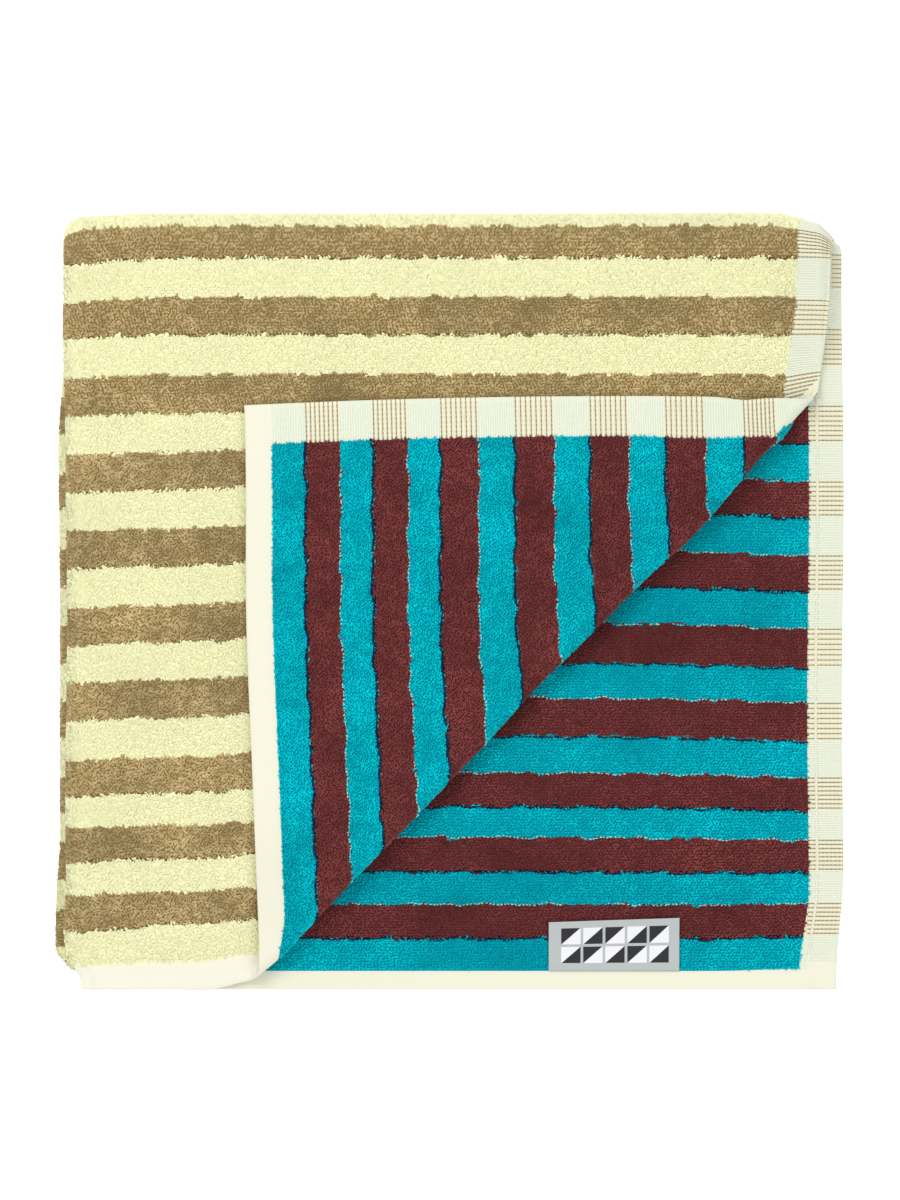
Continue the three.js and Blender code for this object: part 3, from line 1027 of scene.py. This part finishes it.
def hemLines(rows, stations, side, keep, offsets, split=None):
    # marks across the cloth: groups of dotted threads with cords between, fine ribs elsewhere
    marks = []
    v = stack["sideHem"] + hems["inset"]
    last = hems["until"]
    for a, b in zip(stripes["start"] + [last], stripes["end"] + [last]):
        low, high = a + offsets[0], b + offsets[1]
        marks += [(u, "plain") for u in np.arange(v, min(low, last) - hems["gap"][0], hems["rib"])]
        if b > a:
            at = np.linspace(low, high, hems["threads"])
            marks += [(u, "brown") for u in at] + [(u, "cream") for u in (at[1:] + at[:-1]) / 2]
        v = high + hems["gap"][1]
    found = {"brown": [], "cream": [], "plain": []}
    reach = cloth["across"][np.ix_(rows, stations)]
    for v, kind in marks:
        if not reach.min() < v < reach.max():
            continue
        line = lineAt(v, rows, stations, side)
        line = line[np.argsort(line[:, 6])]
        edge, root = 0.05, stack["endHem"] + 0.15
        parts = [(edge, root)]
        if split and kind == "brown":
            parts = [(edge, split[0]), (split[1], root)]
        for low, high in parts:
            u = np.linspace(low, high, max(3, int((high - low) / (0.6 if kind == "brown" else 1.4))))
            row = np.stack([np.interp(u, line[:, 6], line[:, c]) for c in range(9)], 1)
            row = row[keep(row, row[:, 8]) & (np.abs(row[:, 7] - v) < 0.3)]
            if len(row) < 3:
                continue
            up = unit(row[:, 3:6])
            found[kind].append((row[:, :3] - up * hemYarns[kind]["sunk"], up))
    return found


tEnd = np.where((zone == 0) & (cloth["fromEnd"].min(0) < stack["endHem"] + 2))[0]
bEnd = np.where((zone == 6) & (cloth["fromEnd"][0] < stack["endHem"] + 4))[0]
hemSets = {
    "topHem": hemLines(highHalf, tEnd, "sideA", notTurned, (0.5, -0.8)),
    "cornerHem": hemLines(upperIndex, tEnd, "sideB", turnedOver, (0.45, -0.6)),
    "secondHem": hemLines(highHalf, bEnd, "sideB", everywhere, (1.2, 0.1), (7.9, 9.0)),
    "underHem": hemLines(lowHalf, tEnd, "sideA", everywhere, (0.8, -0.8)),
}
for name, found in hemSets.items():
    rods(name + "Threads", found["brown"], "brown")
    rods(name + "Cords", found["cream"], "cream")
    rods(name + "Ribs", found["plain"], "plain")


def stitchRow(name, rows, stations, side, low, high):
    # short stitches running across the cloth at one distance from its end
    length, rise = hems["stitchLength"], hemYarns["stitch"]["radius"] * 0.7
    line = []
    for r in rows:
        if low < cloth["across"][r, stations[0]] < high:
            width = readings(side)[0][r, stations]
            order = np.argsort(width)
            line.append([np.interp(hems["stitchAt"], width[order], col[order])
                         for col in columnsOf(side, (r, stations))])
    line = np.array(line)
    reach = runLength(line[:, :3])
    made = []
    for start in np.arange(0.4, reach[-1] - length, length + hems["stitchGap"]):
        a = np.linspace(start, start + length, 4)
        row = np.stack([np.interp(a, reach, line[:, c]) for c in range(6)], 1)
        up = unit(row[:, 3:])
        made.append((row[:, :3] + up * np.array([-0.1, rise, rise, -0.1])[:, None], up))
    rods(name, made, "stitch")


stitchRow("secondHemStitches", highHalf, bEnd, "sideB", 10, hems["until"])

# label
labelForm = {
    "left": 31.7, "right": 73.6, "back": -102.2, "front": -118.6, "skew": 1.4, "thick": 0.5,
    "columns": 40, "rows": 16,
    "fields": (5, 2), "border": (0.085, 0.13), "patterned": (0.845, 0.76),   # shares of the label
    "tones": {"Ground": tone(176, 182, 181), "Light": tone(226, 226, 232), "Dark": tone(52, 52, 54)},
}


def labelMaterial():
    tree, come, go = group("labelWeave", ["Label UV"], ["Ground", "Light", "Dark"])
    split = tree.nodes.new("ShaderNodeSeparateXYZ")
    link(tree, (come.outputs["Label UV"], split.inputs[0]))
    # five by two fields inside a plain border, each split on its slant
    places = []
    for k in (0, 1):
        inset = mathNode(tree, "SUBTRACT", split.outputs[k], labelForm["border"][k])
        places.append(mathNode(tree, "MULTIPLY", inset, labelForm["fields"][k] / labelForm["patterned"][k]))
    column, row = places
    fx, fy = mathNode(tree, "FRACT", column), mathNode(tree, "FRACT", row)
    inside = None
    wide, tall = labelForm["fields"]
    for value, low, high in ((column, 0, wide), (row, 0, tall), (fx, 0.06, 0.94), (fy, 0.07, 0.93)):
        for kind, limit in (("GREATER_THAN", low), ("LESS_THAN", high)):
            test = mathNode(tree, kind, value, limit)
            inside = test if inside is None else mathNode(tree, "MULTIPLY", inside, test)
    ix, iy = mathNode(tree, "FLOOR", column), mathNode(tree, "FLOOR", row)
    odd = mathNode(tree, "MODULO", mathNode(tree, "ADD", ix, iy), 2.0)
    slant = mathNode(tree, "GREATER_THAN", fx, fy)
    flip = mathNode(tree, "ABSOLUTE", mathNode(tree, "SUBTRACT", slant, odd))
    colour = mixNode(tree, flip, come.outputs["Light"], come.outputs["Dark"])
    colour = mixNode(tree, inside, come.outputs["Ground"], colour)
    weave = weaveNode(tree, come.outputs["Label UV"], 26, 0.4)
    link(tree, (colour, go.inputs["Colour"]), (weave, go.inputs["Relief"]))
    return groupMaterial("labelWoven", tree, labelForm["tones"], 0.05, 0.3, "labelUV", 0.75)


def makeLabel():
    form = labelForm
    nx, ny = form["columns"], form["rows"]
    s, t = np.meshgrid(np.linspace(0, 1, nx + 1), np.linspace(0, 1, ny + 1))
    x = mix(form["left"], form["right"], s)
    y = mix(form["front"], form["back"] + form["skew"] * (s - 0.5), t)
    # rests on the pile of the second layer, its free edge a little up
    low = heightAt(x, y, 2.5) + halfThick(x, y) * 0.9 + 0.55
    z = low + 0.35 * ramp(t, 0.6, 1) + 0.12 * np.sin(s * 9)
    z = mix(z, heightAt(x, y, 2.5) + halfThick(x, y) + 0.1, ramp(t, 0.12, 0))
    top = np.stack([x, y, z + form["thick"]], -1).reshape(-1, 3)
    bottom = np.stack([x, y, z], -1).reshape(-1, 3)
    points = np.concatenate([top, bottom])
    n = nx + 1
    j, i = np.meshgrid(np.arange(ny), np.arange(nx), indexing="ij")
    a = (j * n + i).ravel()
    up = np.stack([a, a + 1, a + n + 1, a + n], 1)
    under = np.stack([a, a + n, a + n + 1, a + 1], 1) + len(top)
    ring = np.concatenate([np.arange(nx), nx + n * np.arange(ny), (ny * n + nx) - np.arange(nx),
                           ny * n - n * np.arange(ny)])
    after = np.roll(ring, -1)
    wall = np.stack([after, ring, ring + len(top), after + len(top)], 1)
    faces = np.concatenate([up, under, wall])
    if signedVolume(points, faces) < 0:
        faces = faces[:, ::-1]
    piece = meshOf("labelCloth", points, faces, [labelMaterial()])
    bpy.ops.object.select_all(action="DESELECT")
    piece.select_set(True)
    bpy.context.view_layer.objects.active = piece
    bpy.ops.object.shade_smooth_by_angle(angle=math.radians(40))
    giveUv(piece, "labelUV", np.concatenate([np.stack([s, t], -1).reshape(-1, 2)] * 2))
    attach(piece, "root")
    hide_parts("label")


makeLabel()
print("label made")
